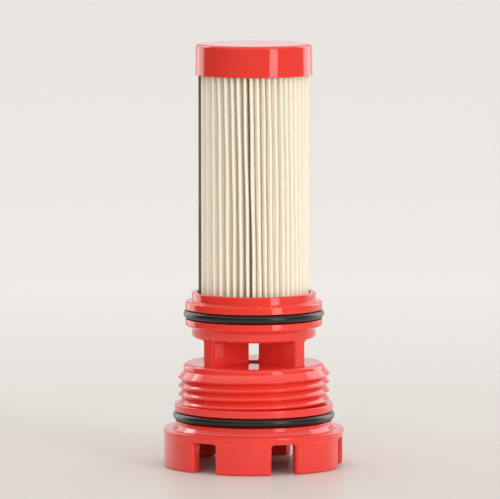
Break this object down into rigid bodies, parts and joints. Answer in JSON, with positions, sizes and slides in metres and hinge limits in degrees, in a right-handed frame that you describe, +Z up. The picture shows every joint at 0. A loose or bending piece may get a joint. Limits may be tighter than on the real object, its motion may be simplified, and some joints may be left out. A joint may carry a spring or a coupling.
{
  "type": "fuel filter cartridge",
  "caption": "Screw-in fuel filter cartridge: castellated head, threaded plug with O-ring seals, open vaned neck, pleated paper element and a domed-edge end cap.",
  "frame": {"origin": "centre of the plane that the head's teeth stand on, on the cartridge's axis", "axes": "+Z up along the axis, from the head to the end cap; -Y is the side that faced the viewer"},
  "size_m": [0.0528, 0.0528, 0.1233],
  "materials": {
    "red_cap": "glossy moulded red plastic",
    "red_base": "semi-gloss moulded red plastic",
    "filter_paper": "matt resin-treated cellulose paper",
    "seam_strip": "dull dark grey strip",
    "core_plastic": "matt black perforated plastic",
    "potting": "cured amber adhesive",
    "rubber": "satin black nitrile rubber"
  },
  "bodies": {
    "root": {"end_cap": "red_cap", "cap_potting": "potting", "pleated_media": "filter_paper", "seam_clip": "seam_strip", "core_tube": "core_plastic", "collar_potting": "potting", "threaded_base": "red_base", "upper_o_ring": "rubber", "lower_o_ring": "rubber"}
  },
  "joints": []
}
